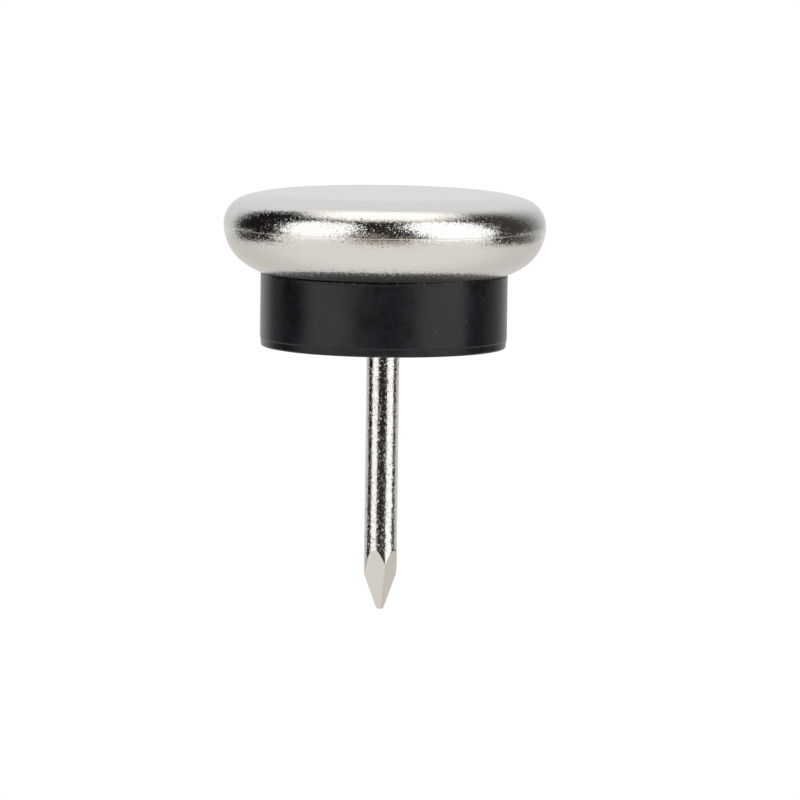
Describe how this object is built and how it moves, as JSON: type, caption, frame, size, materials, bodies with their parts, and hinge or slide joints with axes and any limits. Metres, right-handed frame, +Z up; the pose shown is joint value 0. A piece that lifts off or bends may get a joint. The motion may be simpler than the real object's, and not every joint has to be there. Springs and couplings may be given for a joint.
{
  "type": "furniture glide",
  "caption": "Nail-on furniture glide: a round nickel-plated steel cap curled over a black rubber cushion, with a pointed nail standing out of the cushion's seat.",
  "frame": {"origin": "middle of the flat glide face, which stands on the floor", "axes": "+Z up along the nail, from the glide face to the tip; the part is round about Z, and the point's two blunt ridges face +Y and -Y"},
  "size_m": [0.0318, 0.0318, 0.0413],
  "materials": {
    "plated_cap": "bright nickel plate on pressed steel",
    "black_rubber": "smooth moulded, faint sheen",
    "plated_nail": "bright nickel plate on drawn wire"
  },
  "bodies": {
    "root": {"glide_cap": "plated_cap", "cushion": "black_rubber", "nail": "plated_nail"}
  },
  "joints": []
}
